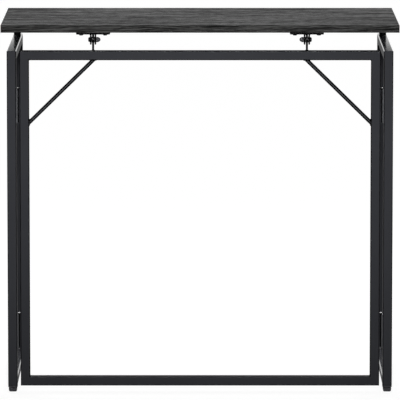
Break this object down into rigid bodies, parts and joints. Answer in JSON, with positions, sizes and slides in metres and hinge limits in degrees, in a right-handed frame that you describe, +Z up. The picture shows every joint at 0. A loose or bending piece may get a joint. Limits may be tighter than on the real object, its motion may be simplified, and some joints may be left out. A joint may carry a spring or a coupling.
{
  "type": "folding desk",
  "caption": "folding desk: a thin wood-grain board hinged on a square-tube back frame and held level by posts on side frames that swing in flat",
  "frame": {"origin": "on the floor, under the centre of the desk's bounding box", "axes": "+Z up; +X along the desk's width, to the right as seen from its back; +Y from the back frame towards the sitter"},
  "size_m": [0.8, 0.4, 0.744],
  "materials": {
    "steel": "satin black powder coat on steel",
    "board": "matt black oak melamine on particle board",
    "edge_band": "black oak edge band",
    "plastic": "moulded black plastic",
    "rubber": "black rubber",
    "zinc": "zinc-plated steel"
  },
  "bodies": {
    "back_frame": {"back_top_rail": "steel", "back_bottom_rail": "steel", "back_left_post": "steel", "back_right_post": "steel", "left_corner_brace": "steel", "right_corner_brace": "steel", "left_hinge_lug": "steel", "right_hinge_lug": "steel", "left_upper_post_leaf": "steel", "left_upper_hinge_pin": "zinc", "left_lower_post_leaf": "steel", "left_lower_hinge_pin": "zinc", "right_upper_post_leaf": "steel", "right_upper_hinge_pin": "zinc", "right_lower_post_leaf": "steel", "right_lower_hinge_pin": "zinc"},
    "left_side_frame": {"left_rear_leg": "steel", "left_rear_foot": "plastic", "left_front_leg": "steel", "left_front_foot": "plastic", "left_top_rail": "steel", "left_bottom_rail": "steel", "left_support_post": "steel", "left_post_cap": "rubber", "left_upper_leg_leaf": "steel", "left_lower_leg_leaf": "steel"},
    "right_side_frame": {"right_rear_leg": "steel", "right_rear_foot": "plastic", "right_front_leg": "steel", "right_front_foot": "plastic", "right_top_rail": "steel", "right_bottom_rail": "steel", "right_support_post": "steel", "right_post_cap": "rubber", "right_upper_leg_leaf": "steel", "right_lower_leg_leaf": "steel"},
    "desktop": {"desktop_board": "board", "rear_edge_band": "edge_band", "front_edge_band": "edge_band", "left_edge_band": "edge_band", "right_edge_band": "edge_band", "left_clevis_bracket": "steel", "left_hinge_bolt": "steel", "left_cap_nut": "zinc", "left_outer_washer": "plastic", "left_inner_washer": "plastic", "left_bracket_screw_1": "zinc", "left_bracket_screw_2": "zinc", "left_bracket_screw_3": "zinc", "left_bracket_screw_4": "zinc", "right_clevis_bracket": "steel", "right_hinge_bolt": "steel", "right_cap_nut": "zinc", "right_outer_washer": "plastic", "right_inner_washer": "plastic", "right_bracket_screw_1": "zinc", "right_bracket_screw_2": "zinc", "right_bracket_screw_3": "zinc", "right_bracket_screw_4": "zinc"}
  },
  "joints": [
    {"name": "left_side_fold", "type": "hinge", "parent": "back_frame", "child": "left_side_frame", "pos_m": [-0.3657, -0.181, 0.3525], "axis": [0, 0, -1], "range_deg": [0, 90]},
    {"name": "right_side_fold", "type": "hinge", "parent": "back_frame", "child": "right_side_frame", "pos_m": [0.3657, -0.181, 0.3525], "axis": [0, 0, 1], "range_deg": [0, 90]},
    {"name": "desktop_lift", "type": "hinge", "parent": "back_frame", "child": "desktop", "pos_m": [0, -0.188, 0.7142], "axis": [1, 0, 0], "range_deg": [0, 90]}
  ]
}
